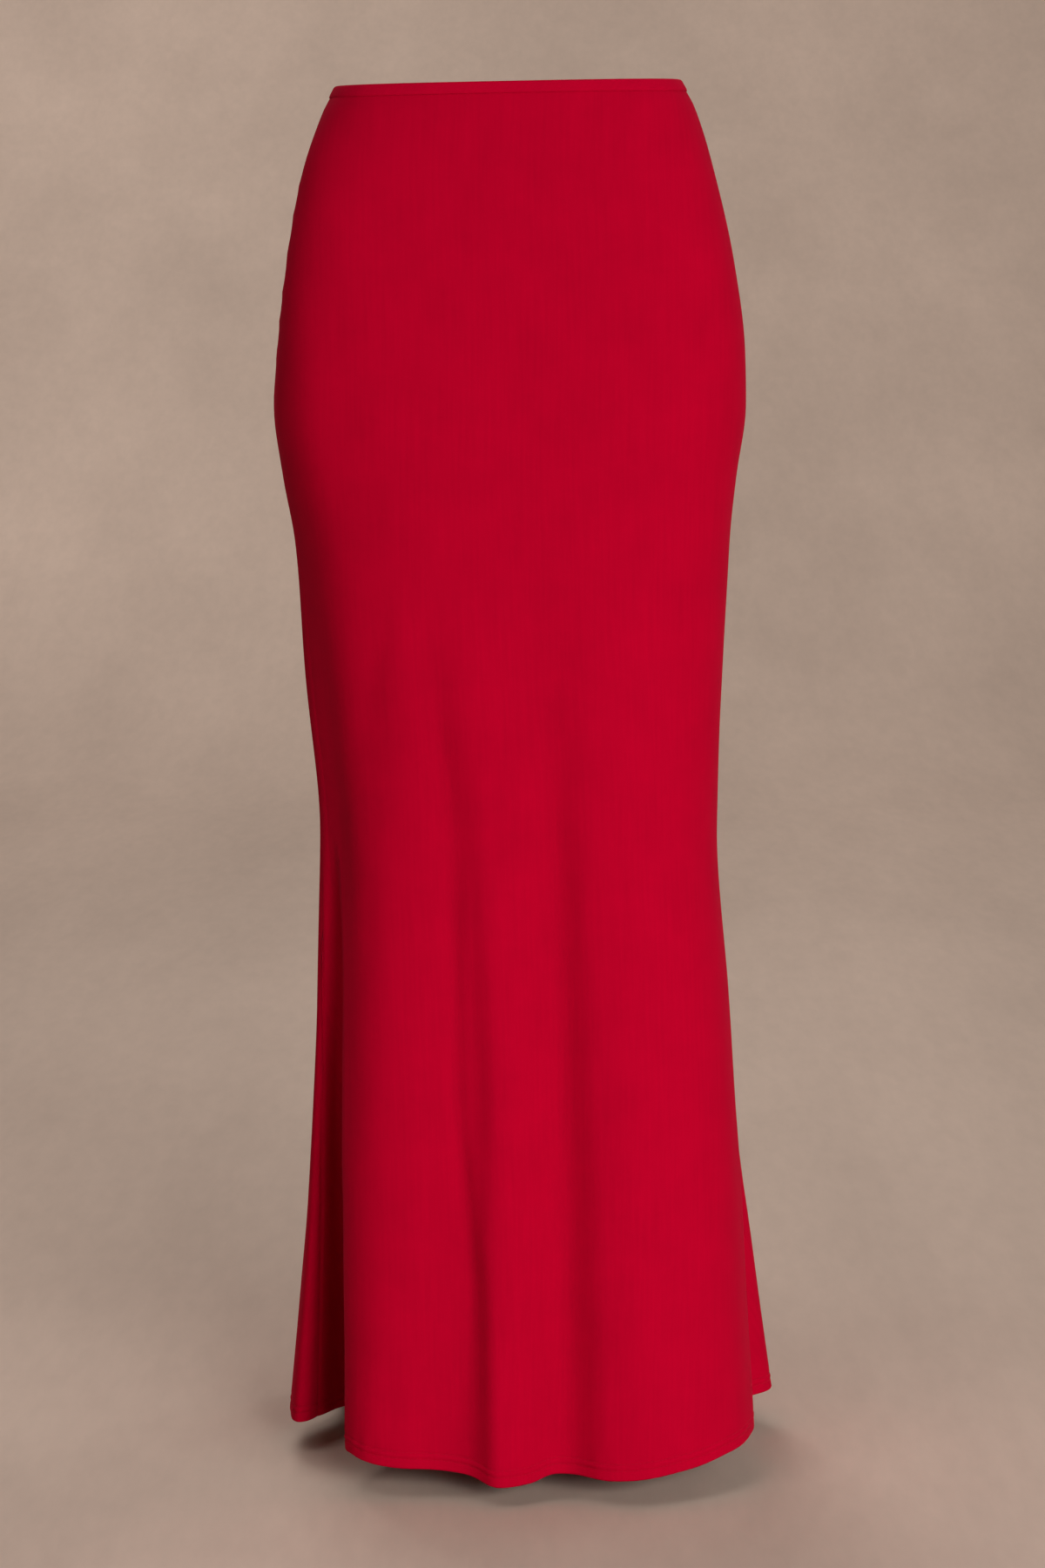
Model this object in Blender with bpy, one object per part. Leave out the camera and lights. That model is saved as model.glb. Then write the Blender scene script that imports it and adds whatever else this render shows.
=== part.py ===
"""Fishtail maxi skirt in red jersey, in its worn form: a front, a back and a narrow waistband.

Metres, +Z up. The origin is the centre of the waist opening and the front faces -Y.
The skirt is close at the hips and knees, and below the knees it flares into standing folds.
"""

import math
from collections import namedtuple

import bpy
import numpy as np

# Driving sizes.
SKIRT_LENGTH = 1.020
KNEE_DROP = 0.560
CLOTH_WALL = 0.0015
HEM_WALL = 0.0027
HEM_TURN = 0.015
HEM_STEP = 0.0006
BAND_HEIGHT = 0.0087
BAND_WALL = 0.0030
BAND_PROUD = 0.0008
BAND_EDGE_RADIUS = 0.0011
SEAM_GAP = 0.0003

# The waist is held a little higher on the right hip, and level again below the hips.
WAIST_TILT = 0.020
TILT_FADE = 0.260

# The back's corners are a little squarer than an ellipse's, and the side seams sit turned to the right.
BACK_SQUARENESS = 2.2
SEAM_TURN = math.radians(10.0)

# The hem's lift at a fold comes in below this drop.
RISE_START = 0.500

# At 1 a fold's crest is as round as its neighbours allow, and above 1 it is broader, with steeper sides.
FOLD_ROUNDNESS = 1.15

# How the mesh is divided.
FIRST_HIP_ROW = 0.030
SHARP_EDGE = math.radians(50.0)
FRONT_COLUMNS = 40
BACK_COLUMNS = 42
BAND_COLUMNS = 56
BAND_CORNER_STEPS = 2
ROW_STEP = 0.045
FLARE_ROW_STEP = 0.032
BEARING_STEPS = 180
HEM_STEPS_PER_FOLD = 24
# Columns are spread by the plain ring's width, the hem's length and the hem's turning, in these parts.
PLAIN_PART = 0.25
LENGTH_PART = 0.30
TURNING_PART = 0.45

JERSEY_RED = (0.445, 0.0015, 0.0176, 1.0)
BAND_RED = (0.468, 0.0018, 0.020, 1.0)
JERSEY_ROUGHNESS = 0.85

# How far the cloth stands from the middle line at each drop below the waist edge, and how square
# the front's corners are: 2 is an ellipse.
Section = namedtuple("Section", "name drop left right front back squareness")
SECTIONS = (
    Section("waist", 0.000, 0.1290, 0.1272, 0.086, 0.089, 2.8),
    Section("below_band", 0.022, 0.1395, 0.1385, 0.091, 0.095, 3.1),
    Section("upper_hip", 0.067, 0.1540, 0.1522, 0.101, 0.108, 3.6),
    Section("mid_hip", 0.132, 0.1653, 0.1668, 0.109, 0.120, 3.7),
    Section("seat", 0.200, 0.1733, 0.1760, 0.113, 0.124, 3.4),
    Section("full_hip", 0.238, 0.1758, 0.1771, 0.114, 0.120, 3.2),
    Section("top_of_thigh", 0.290, 0.1693, 0.1708, 0.114, 0.110, 3.0),
    Section("thigh", 0.340, 0.1608, 0.1656, 0.113, 0.102, 2.9),
    Section("above_knee", 0.440, 0.1533, 0.1606, 0.110, 0.095, 2.8),
    Section("knee", KNEE_DROP, 0.1430, 0.1568, 0.106, 0.092, 2.7),
    Section("calf", 0.680, 0.1427, 0.1640, 0.114, 0.106, 2.7),
    Section("shin", 0.820, 0.1430, 0.1700, 0.138, 0.142, 2.7),
    Section("hem", SKIRT_LENGTH, 0.1470, 0.1770, 0.174, 0.205, 2.7),
)

# The hem's folds, from seam to seam. Share is the place on the panel's width where the fold starts,
# across and forward are where it stands at the hem, and rise is how far the hem is lifted there.
# Start is the drop at which the fold begins, and a growth over 1 makes it stand out late, under 1 early.
Fold = namedtuple("Fold", "name share across forward rise start growth")
FRONT_FOLDS = (
    Fold("left_seam", 0.000, -0.1462, 0.0240, 0.0100, KNEE_DROP, 1.4),
    Fold("left_recess", 0.028, -0.1150, -0.0080, 0.0100, KNEE_DROP, 1.1),
    Fold("left_recess_turn", 0.038, -0.1010, 0.0090, 0.0100, KNEE_DROP, 1.0),
    Fold("left_return", 0.052, -0.1015, 0.0750, 0.0110, KNEE_DROP, 0.9),
    Fold("left_edge_fold", 0.076, -0.1180, 0.1440, 0.0138, KNEE_DROP, 1.0),
    Fold("left_corner", 0.120, -0.1080, 0.1575, 0.0115, 0.520, 1.0),
    Fold("left_rise", 0.205, -0.0820, 0.1680, 0.0085, 0.440, 0.9),
    Fold("left_valley", 0.255, -0.0560, 0.1685, 0.0075, 0.380, 0.7),
    Fold("middle_ridge_foot", 0.295, -0.0340, 0.1725, 0.0055, 0.380, 0.7),
    Fold("middle_ridge", 0.360, -0.0060, 0.1915, 0.0000, 0.380, 0.7),
    Fold("middle_slope", 0.435, 0.0150, 0.1835, 0.0010, 0.380, 0.7),
    Fold("right_valley", 0.490, 0.0360, 0.1740, 0.0060, 0.380, 0.7),
    Fold("right_ridge", 0.565, 0.0770, 0.1900, 0.0045, 0.380, 0.7),
    Fold("right_slope", 0.700, 0.1320, 0.1740, 0.0090, 0.440, 0.9),
    Fold("right_corner", 0.800, 0.1630, 0.1460, 0.0145, 0.520, 1.0),
    Fold("right_edge_fold", 0.895, 0.1815, 0.1000, 0.0165, KNEE_DROP, 1.1),
    Fold("right_return", 0.945, 0.1830, 0.0450, 0.0150, KNEE_DROP, 1.1),
    Fold("right_recess", 0.975, 0.1750, 0.0110, 0.0140, KNEE_DROP, 1.1),
)
BACK_FOLDS = (
    Fold("right_seam", 0.000, 0.1810, -0.0130, 0.0140, KNEE_DROP, 1.2),
    Fold("right_flute", 0.050, 0.2035, -0.0440, 0.0145, 0.560, 1.2),
    Fold("right_back_valley", 0.140, 0.1760, -0.1050, 0.0090, 0.540, 1.3),
    Fold("right_back_flute", 0.240, 0.1580, -0.1800, 0.0050, 0.540, 1.3),
    Fold("inner_right_valley", 0.330, 0.0990, -0.1740, 0.0030, 0.520, 1.3),
    Fold("inner_right_flute", 0.420, 0.0580, -0.2360, 0.0010, 0.500, 1.3),
    Fold("middle_back_valley", 0.500, 0.0080, -0.2000, 0.0010, 0.500, 1.3),
    Fold("inner_left_flute", 0.575, -0.0400, -0.2460, 0.0000, 0.500, 1.3),
    Fold("inner_left_valley", 0.660, -0.0820, -0.1860, 0.0020, 0.520, 1.3),
    Fold("left_back_flute", 0.750, -0.1380, -0.1780, 0.0040, 0.540, 1.3),
    Fold("left_back_valley", 0.860, -0.1390, -0.0880, 0.0070, KNEE_DROP, 1.3),
    Fold("left_flute", 0.950, -0.1690, -0.0010, 0.0080, KNEE_DROP, 1.5),
    Fold("left_flute_face", 0.985, -0.1555, 0.0370, 0.0095, KNEE_DROP, 1.5),
)

# Where the cloth is drawn flat over the left thigh: its place, and how much nearer to the middle line it is.
FLAT_SHARE = 0.075
FLAT_REACH = 0.055
FLAT_SEAM_REACH = 0.030
FLAT_TOP = 0.300
FLAT_BOTTOM = 0.800
FLAT_DEPTH = 0.045


def clear_scene():
    for obj in list(bpy.data.objects):
        bpy.data.objects.remove(obj, do_unlink=True)


def cloth_material(name, color):
    """Matt jersey: the colour is the cloth's own, with no metal and little gloss."""
    material = bpy.data.materials.new(name)
    material.use_nodes = True
    shader = material.node_tree.nodes["Principled BSDF"]
    shader.inputs["Base Color"].default_value = color
    shader.inputs["Roughness"].default_value = JERSEY_ROUGHNESS
    shader.inputs["Metallic"].default_value = 0.0
    material.diffuse_color = color
    return material


def hermite(knots, values, slopes, at):
    """Values of the cubic curve that runs through the knots with these slopes."""
    place = np.clip(np.searchsorted(knots, at, side="right") - 1, 0, len(knots) - 2)
    width = knots[place + 1] - knots[place]
    s = (at - knots[place]) / width
    start = (1.0 + 2.0 * s) * (1.0 - s) ** 2 * values[place]
    end = s**2 * (3.0 - 2.0 * s) * values[place + 1]
    leave = s * (1.0 - s) ** 2 * slopes[place]
    arrive = s**2 * (s - 1.0) * slopes[place + 1]
    return start + end + width * (leave + arrive)


def steady_slopes(knots, values):
    """Slopes that never overshoot: level at each high and low, and gentle between unlike runs."""
    chords = np.diff(values) / np.diff(knots)
    slopes = np.concatenate([chords[:1], np.zeros(len(values) - 2), chords[-1:]])
    rising = chords[:-1] * chords[1:] > 0.0
    means = 2.0 * chords[:-1] * chords[1:] / np.where(rising, chords[:-1] + chords[1:], 1.0)
    slopes[1:-1] = np.where(rising, means, 0.0)
    return slopes


def profile(column, drops):
    """One column of the sections table, as a smooth line down the skirt."""
    knots = np.array([row.drop for row in SECTIONS])
    values = np.array([getattr(row, column) for row in SECTIONS])
    return hermite(knots, values, steady_slopes(knots, values), drops)


def plain_ring(drop, shares, first_bearing):
    """Points of the unfolded ring at one drop, at these shares of the panel that starts at a bearing.

    The bearing runs from the left side over the front and the right side to the back.
    """
    left, right, front, back, squareness = (profile(name, drop) for name in Section._fields[2:])
    bearing = first_bearing + np.linspace(0.0, math.pi, BEARING_STEPS + 1)
    across = -np.cos(bearing)
    forward = np.sin(bearing)
    breadth = 0.5 * (left + right)
    depth = np.where(forward > 0.0, front, back)
    power = np.where(forward > 0.0, squareness, BACK_SQUARENESS)
    radius = (np.abs(across / breadth) ** power + np.abs(forward / depth) ** power) ** (-1.0 / power)
    x = 0.5 * (right - left) + radius * across
    y = -radius * forward
    lengths = np.concatenate([[0.0], np.cumsum(np.hypot(np.diff(x), np.diff(y)))])
    wanted = shares * lengths[-1]
    return np.stack([np.interp(wanted, lengths, x), np.interp(wanted, lengths, y)], axis=1)


def flat_over_thigh(drop, shares):
    """The share of its distance from the middle line that the front loses over the left thigh."""
    way_down = min(max((drop - FLAT_TOP) / (FLAT_BOTTOM - FLAT_TOP), 0.0), 1.0)
    across = np.clip(shares / FLAT_SEAM_REACH, 0.0, 1.0) * np.exp(-(((shares - FLAT_SHARE) / FLAT_REACH) ** 2))
    return FLAT_DEPTH * math.sin(math.pi * way_down) * across


def hem_line():
    """The hem from above as one closed smooth line: points, lengths along it, and each fold's place."""
    folds = FRONT_FOLDS + BACK_FOLDS
    stands = np.array([(row.across, -row.forward) for row in folds])
    steps = np.linalg.norm(np.roll(stands, -1, axis=0) - stands, axis=1)
    before = np.roll(steps, 1)[:, None]
    after = steps[:, None]
    chord_in = (stands - np.roll(stands, 1, axis=0)) / before
    chord_out = (np.roll(stands, -1, axis=0) - stands) / after
    slopes = chord_in * after + chord_out * before
    slopes *= FOLD_ROUNDNESS / np.linalg.norm(slopes, axis=1, keepdims=True)
    knots = np.concatenate([[0.0], np.cumsum(steps)])
    closed_stands = np.vstack([stands, stands[:1]])
    closed_slopes = np.vstack([slopes, slopes[:1]])
    stretches = [np.linspace(a, b, HEM_STEPS_PER_FOLD, endpoint=False) for a, b in zip(knots, knots[1:])]
    at = np.append(np.concatenate(stretches), knots[-1])
    line = np.stack([hermite(knots, closed_stands[:, i], closed_slopes[:, i], at) for i in range(2)], axis=1)
    lengths = np.concatenate([[0.0], np.cumsum(np.linalg.norm(np.diff(line, axis=0), axis=1))])
    return line, lengths, lengths[::HEM_STEPS_PER_FOLD]


HEM_LINE, HEM_LENGTHS, FOLD_PLACES = hem_line()


def spread_columns(places, shares, columns):
    """Places along the hem for a panel's columns, closer where the hem turns."""
    inside = (HEM_LENGTHS >= places[0]) & (HEM_LENGTHS <= places[-1])
    along = HEM_LENGTHS[inside]
    line = HEM_LINE[inside]
    heading = np.unwrap(np.arctan2(*np.diff(line, axis=0).T))
    turning = np.concatenate([[0.0, 0.0], np.cumsum(np.abs(np.diff(heading)))])
    length = along - along[0]
    plain = hermite(places, shares, steady_slopes(places, shares), along)
    measure = PLAIN_PART * plain + LENGTH_PART * length / length[-1] + TURNING_PART * turning / turning[-1]
    return np.interp(np.linspace(0.0, 1.0, columns + 1), measure, along)


class Panel:
    """One panel's columns: the place along the hem, the share of the plain ring, how the fold grows."""

    def __init__(self, folds, next_seam, places, first_bearing, columns):
        self.first_bearing = first_bearing
        shares = np.array([row.share for row in folds] + [1.0])
        self.places = spread_columns(places, shares, columns)
        self.shares = hermite(places, shares, steady_slopes(places, shares), self.places)
        ends = folds + (next_seam,)
        self.starts, self.growths, self.rises = (
            hermite(places, values, steady_slopes(places, values), self.places)
            for values in (np.array([getattr(row, name) for row in ends]) for name in ("start", "growth", "rise"))
        )
        hem = np.stack([np.interp(self.places, HEM_LENGTHS, HEM_LINE[:, i]) for i in range(2)], axis=1)
        self.flare = hem - plain_ring(SKIRT_LENGTH, self.shares, first_bearing)

    def ring(self, drop):
        """The panel's points at one drop, seam to seam, with its folds."""
        grown = np.clip((drop - self.starts) / (SKIRT_LENGTH - self.starts), 0.0, 1.0) ** self.growths
        plain = plain_ring(drop, self.shares, self.first_bearing)
        if self.first_bearing == SEAM_TURN:
            plain *= 1.0 - flat_over_thigh(drop, self.shares)[:, None]
        flat = plain + grown[:, None] * self.flare
        tilt = WAIST_TILT * max(0.0, 1.0 - drop / TILT_FADE)
        lift = self.rises * max(0.0, (drop - RISE_START) / (SKIRT_LENGTH - RISE_START)) ** 2
        return np.column_stack([flat, tilt * flat[:, 0] + lift - drop])


def panels():
    split = len(FRONT_FOLDS)
    front_places, back_places = FOLD_PLACES[: split + 1], FOLD_PLACES[split:]
    front = Panel(FRONT_FOLDS, BACK_FOLDS[0], front_places, SEAM_TURN, FRONT_COLUMNS)
    back = Panel(BACK_FOLDS, FRONT_FOLDS[0], back_places, SEAM_TURN + math.pi, BACK_COLUMNS)
    return front, back


def row_drops():
    """Heights of the mesh's rows: close under the band and at the turned hem, wider between."""
    top = BAND_HEIGHT + SEAM_GAP
    turn = SKIRT_LENGTH - HEM_TURN
    upper = np.linspace(FIRST_HIP_ROW, KNEE_DROP, round((KNEE_DROP - FIRST_HIP_ROW) / ROW_STEP) + 1)
    lower = np.linspace(KNEE_DROP, turn - HEM_STEP, round((turn - KNEE_DROP) / FLARE_ROW_STEP) + 1)
    return np.concatenate([[top, 0.5 * (top + FIRST_HIP_ROW)], upper, lower[1:], [turn, SKIRT_LENGTH]])


def outward(rings):
    """Unit normals of a closed grid of rings, out of the skirt, and the directions along the rings."""
    along = np.roll(rings, -1, axis=1) - np.roll(rings, 1, axis=1)
    down = np.gradient(rings, axis=0)
    normals = np.cross(along, down)
    normals /= np.linalg.norm(normals, axis=2, keepdims=True)
    return -normals, along / np.linalg.norm(along, axis=2, keepdims=True)


def wall_mesh(name, outer, inner):
    """A closed wall between two grids of points, with its four narrow edges, in triangles.

    Both faces split each square along the same diagonal, so the wall keeps its thickness.
    """
    rows, columns = outer.shape[:2]
    number = np.arange(rows * columns).reshape(rows, columns)
    under = number + rows * columns
    faces = []
    for i in range(rows - 1):
        for j in range(columns - 1):
            a, b, c, d = number[i, j], number[i, j + 1], number[i + 1, j + 1], number[i + 1, j]
            e, f, g, h = under[i, j], under[i, j + 1], under[i + 1, j + 1], under[i + 1, j]
            falling = np.linalg.norm(outer[i, j] - outer[i + 1, j + 1])
            rising = np.linalg.norm(outer[i, j + 1] - outer[i + 1, j])
            if falling < rising:
                faces += [(a, d, c), (a, c, b), (e, g, h), (e, f, g)]
            else:
                faces += [(a, d, b), (d, c, b), (e, f, h), (h, f, g)]
    edge = list(number[:, 0]) + list(number[-1, 1:]) + list(number[-2::-1, -1]) + list(number[0, -2:0:-1])
    for a, b in zip(edge, edge[1:] + edge[:1]):
        faces += [(a, a + rows * columns, b), (b, a + rows * columns, b + rows * columns)]
    mesh = bpy.data.meshes.new(name)
    points = np.vstack([outer.reshape(-1, 3), inner.reshape(-1, 3)])
    mesh.from_pydata(points.tolist(), [], [tuple(int(n) for n in face) for face in faces])
    return mesh


def add_object(name, mesh, material):
    mesh.materials.append(material)
    mesh.shade_smooth()
    mesh.set_sharp_from_angle(angle=SHARP_EDGE)
    obj = bpy.data.objects.new(name, mesh)
    bpy.context.scene.collection.objects.link(obj)
    return obj


def build_panels(material):
    """The front and the back: one closed grid of rings, parted at the side seams by the seam gap."""
    front, back = panels()
    drops = row_drops()
    rings = np.stack([np.vstack([front.ring(d)[:-1], back.ring(d)[:-1]]) for d in drops])
    normals, along = outward(rings)
    thickness = np.where(drops >= SKIRT_LENGTH - HEM_TURN, HEM_WALL, CLOTH_WALL)[:, None, None]
    inside = rings - thickness * normals
    inside[-1, :, 2] = rings[-1, :, 2]
    inside[0, :, 2] = rings[0, :, 2]
    cuts = (("front_panel", 0, FRONT_COLUMNS), ("back_panel", FRONT_COLUMNS, BACK_COLUMNS))
    for name, first, columns in cuts:
        picked = (first + np.arange(columns + 1)) % rings.shape[1]
        shift = np.zeros((len(drops), columns + 1, 3))
        shift[:, 0] = 0.5 * SEAM_GAP * along[:, picked[0]]
        shift[:, -1] = -0.5 * SEAM_GAP * along[:, picked[-1]]
        mesh = wall_mesh(name, rings[:, picked] + shift, inside[:, picked] + shift)
        add_object(name, mesh, material)


def band_outline():
    """Corner by corner outline of the folded band: (distance out from the waist line, drop)."""
    out = BAND_PROUD
    into = BAND_PROUD - BAND_WALL
    radius = BAND_EDGE_RADIUS
    corners = ((out - radius, radius, 0.0), (into + radius, radius, 90.0))
    points = [(out, BAND_HEIGHT)]
    for across, drop, first in corners:
        for step in range(BAND_CORNER_STEPS + 1):
            turn = math.radians(first + 90.0 * step / BAND_CORNER_STEPS)
            points.append((across + radius * math.cos(turn), drop - radius * math.sin(turn)))
    points.append((into, BAND_HEIGHT))
    return points


def build_waistband(material):
    """The narrow band, folded over at its top edge, as one closed ring."""
    shares = np.linspace(0.0, 1.0, BAND_COLUMNS // 2 + 1)[:-1]
    outline = band_outline()
    loops = []
    for out, drop in outline:
        ring = np.vstack([plain_ring(drop, shares, bearing) for bearing in (SEAM_TURN, SEAM_TURN + math.pi)])
        along = np.roll(ring, -1, axis=0) - np.roll(ring, 1, axis=0)
        away = np.stack([along[:, 1], -along[:, 0]], axis=1) / np.linalg.norm(along, axis=1, keepdims=True)
        moved = ring + out * away
        loops.append(np.column_stack([moved, WAIST_TILT * moved[:, 0] - drop]))
    points = np.vstack(loops)
    count = BAND_COLUMNS
    faces = []
    for i in range(len(loops)):
        this, other = i * count, (i + 1) % len(loops) * count
        for j in range(count):
            k = (j + 1) % count
            faces += [(this + j, this + k, other + k), (this + j, other + k, other + j)]
    mesh = bpy.data.meshes.new("waistband")
    mesh.from_pydata(points.tolist(), [], faces)
    add_object("waistband", mesh, material)


def main():
    clear_scene()
    build_panels(cloth_material("red_jersey", JERSEY_RED))
    build_waistband(cloth_material("red_jersey_band", BAND_RED))


main()
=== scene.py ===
"""Fishtail maxi skirt in red jersey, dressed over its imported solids.

The file is laid out as an add-on and is run as a script. Metres, +Z up, the front faces -Y and the
origin is the centre of the waist opening. Each panel of cloth is a thin closed shell that follows
its solid's form, with the finer creases, the sewn hem, the seams and the knit added.
"""

import math
from collections import namedtuple

import bpy
import numpy as np
from bpy.props import FloatProperty, FloatVectorProperty, PointerProperty
from bpy.types import Operator, Panel, PropertyGroup
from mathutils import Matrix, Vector


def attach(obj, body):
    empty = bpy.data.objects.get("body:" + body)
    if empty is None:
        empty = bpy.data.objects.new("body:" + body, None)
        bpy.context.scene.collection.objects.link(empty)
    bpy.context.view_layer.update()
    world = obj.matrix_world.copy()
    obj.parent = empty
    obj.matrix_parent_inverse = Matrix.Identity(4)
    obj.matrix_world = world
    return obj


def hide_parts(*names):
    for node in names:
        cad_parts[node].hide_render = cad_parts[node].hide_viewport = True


bl_info = {
    "name": "Fishtail maxi skirt",
    "version": (1, 0, 0),
    "blender": (4, 5, 0),
    "location": "View3D > Sidebar > Skirt",
    "description": "Dresses the skirt's solids in red jersey with its folds, seams, hem and studio",
    "category": "Add Mesh",
}

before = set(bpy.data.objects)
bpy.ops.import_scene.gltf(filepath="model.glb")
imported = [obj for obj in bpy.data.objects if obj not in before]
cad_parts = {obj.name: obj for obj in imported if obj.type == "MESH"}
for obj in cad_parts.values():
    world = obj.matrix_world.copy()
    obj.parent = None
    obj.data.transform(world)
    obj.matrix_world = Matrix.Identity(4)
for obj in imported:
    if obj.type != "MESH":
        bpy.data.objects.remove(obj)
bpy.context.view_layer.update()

# The skirt's own sizes, the same as the solids'.
SKIRT_LENGTH = 1.020
KNEE_DROP = 0.560
BAND_HEIGHT = 0.0087
BAND_THICKNESS = 0.0030
BAND_PROUD = 0.0008
# The band's outer face from its lower edge up: how much prouder than BAND_PROUD, and the share of its height.
BAND_FACE = ((-0.0006, 1.0), (-0.00035, 0.97), (-0.0001, 0.90), (0.0001, 0.75), (0.0001, 0.5))
WAIST_TILT = 0.020
TILT_FADE = 0.260
BACK_SQUARENESS = 2.2
SEAM_TURN = math.radians(10.0)
RISE_START = 0.500
FOLD_ROUNDNESS = 1.15
BEARING_STEPS = 360
HEM_STEPS_PER_FOLD = 24

# How the cloth is divided. The first rows are given from the band's lower edge, where the cloth is tucked in.
FRONT_COLUMNS = 216
BACK_COLUMNS = 222
BAND_COLUMNS = 360
BAND_FOLD_STEPS = 8
BAND_LINING_STEPS = 6
EDGE_STEPS = 3
TUCK = 0.0036
TOP_ROWS = (-TUCK, -0.0012, 0.0, 0.0009, 0.0018, 0.003, 0.0045, 0.0065, 0.009)
UPPER_START = 0.024
UPPER_ROWS = 76
FLARE_ROWS = 84
FLARE_END_OVER_TURN = 0.004
HEM_START_OVER_TURN = 0.002
HEM_ROWS = 22

# What spreads a panel's columns: the plain ring, the hem's length, its turning and the nearness of a seam.
HEM_SCAN_STEPS = 2000
PLAIN_PART = 0.40
LENGTH_PART = 0.30
TURNING_PART = 0.15
SEAM_PART = 0.15
SEAM_REACH = 0.006

# The skirt from above without its folds, at 13 heights. Left, right, front and back are reaches from the
# middle, and squareness is how square the front's corners are: 2 is an ellipse.
Section = namedtuple("Section", "name drop left right front back squareness")
SECTIONS = (
    Section("waist", 0.000, 0.1290, 0.1272, 0.086, 0.089, 2.8),
    Section("below_band", 0.022, 0.1395, 0.1385, 0.091, 0.095, 3.1),
    Section("upper_hip", 0.067, 0.1540, 0.1522, 0.101, 0.108, 3.6),
    Section("mid_hip", 0.132, 0.1653, 0.1668, 0.109, 0.120, 3.7),
    Section("seat", 0.200, 0.1733, 0.1760, 0.113, 0.124, 3.4),
    Section("full_hip", 0.238, 0.1758, 0.1771, 0.114, 0.120, 3.2),
    Section("top_of_thigh", 0.290, 0.1693, 0.1708, 0.114, 0.110, 3.0),
    Section("thigh", 0.340, 0.1608, 0.1656, 0.113, 0.102, 2.9),
    Section("above_knee", 0.440, 0.1533, 0.1606, 0.110, 0.095, 2.8),
    Section("knee", KNEE_DROP, 0.1430, 0.1568, 0.106, 0.092, 2.7),
    Section("calf", 0.680, 0.1427, 0.1640, 0.114, 0.106, 2.7),
    Section("shin", 0.820, 0.1430, 0.1700, 0.138, 0.142, 2.7),
    Section("hem", SKIRT_LENGTH, 0.1470, 0.1770, 0.174, 0.205, 2.7),
)

# Each fold stands on the hem at (across, forward), raised by its rise, at a share of its panel's breadth. It
# grows from its start down, late where its growth is high.
Fold = namedtuple("Fold", "name share across forward rise start growth")
FRONT_FOLDS = (
    Fold("left_seam", 0.000, -0.1462, 0.0240, 0.0100, KNEE_DROP, 1.4),
    Fold("left_recess", 0.028, -0.1150, -0.0080, 0.0100, KNEE_DROP, 1.1),
    Fold("left_recess_turn", 0.038, -0.1010, 0.0090, 0.0100, KNEE_DROP, 1.0),
    Fold("left_return", 0.052, -0.1015, 0.0750, 0.0110, KNEE_DROP, 0.9),
    Fold("left_edge_fold", 0.076, -0.1180, 0.1440, 0.0138, KNEE_DROP, 1.0),
    Fold("left_corner", 0.120, -0.1080, 0.1575, 0.0115, 0.520, 1.0),
    Fold("left_rise", 0.205, -0.0820, 0.1680, 0.0085, 0.440, 0.9),
    Fold("left_valley", 0.255, -0.0560, 0.1685, 0.0075, 0.380, 0.7),
    Fold("middle_ridge_foot", 0.295, -0.0340, 0.1725, 0.0055, 0.380, 0.7),
    Fold("middle_ridge", 0.360, -0.0060, 0.1915, 0.0000, 0.380, 0.7),
    Fold("middle_slope", 0.435, 0.0150, 0.1835, 0.0010, 0.380, 0.7),
    Fold("right_valley", 0.490, 0.0360, 0.1740, 0.0060, 0.380, 0.7),
    Fold("right_ridge", 0.565, 0.0770, 0.1900, 0.0045, 0.380, 0.7),
    Fold("right_slope", 0.700, 0.1320, 0.1740, 0.0090, 0.440, 0.9),
    Fold("right_corner", 0.800, 0.1630, 0.1460, 0.0145, 0.520, 1.0),
    Fold("right_edge_fold", 0.895, 0.1815, 0.1000, 0.0165, KNEE_DROP, 1.1),
    Fold("right_return", 0.945, 0.1830, 0.0450, 0.0150, KNEE_DROP, 1.1),
    Fold("right_recess", 0.975, 0.1750, 0.0110, 0.0140, KNEE_DROP, 1.1),
)
BACK_FOLDS = (
    Fold("right_seam", 0.000, 0.1810, -0.0130, 0.0140, KNEE_DROP, 1.2),
    Fold("right_flute", 0.050, 0.2035, -0.0440, 0.0145, 0.560, 1.2),
    Fold("right_back_valley", 0.140, 0.1760, -0.1050, 0.0090, 0.540, 1.3),
    Fold("right_back_flute", 0.240, 0.1580, -0.1800, 0.0050, 0.540, 1.3),
    Fold("inner_right_valley", 0.330, 0.0990, -0.1740, 0.0030, 0.520, 1.3),
    Fold("inner_right_flute", 0.420, 0.0580, -0.2360, 0.0010, 0.500, 1.3),
    Fold("middle_back_valley", 0.500, 0.0080, -0.2000, 0.0010, 0.500, 1.3),
    Fold("inner_left_flute", 0.575, -0.0400, -0.2460, 0.0000, 0.500, 1.3),
    Fold("inner_left_valley", 0.660, -0.0820, -0.1860, 0.0020, 0.520, 1.3),
    Fold("left_back_flute", 0.750, -0.1380, -0.1780, 0.0040, 0.540, 1.3),
    Fold("left_back_valley", 0.860, -0.1390, -0.0880, 0.0070, KNEE_DROP, 1.3),
    Fold("left_flute", 0.950, -0.1690, -0.0010, 0.0080, KNEE_DROP, 1.5),
    Fold("left_flute_face", 0.985, -0.1555, 0.0370, 0.0095, KNEE_DROP, 1.5),
)

# Where the cloth is drawn flat over the left thigh, and how much nearer to the middle it lies there.
FLAT_SHARE = 0.075
FLAT_REACH = 0.055
FLAT_SEAM_REACH = 0.030
FLAT_TOP = 0.300
FLAT_BOTTOM = 0.800
FLAT_DEPTH = 0.045


# ---------------------------------------------------------------- the worn form


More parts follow.
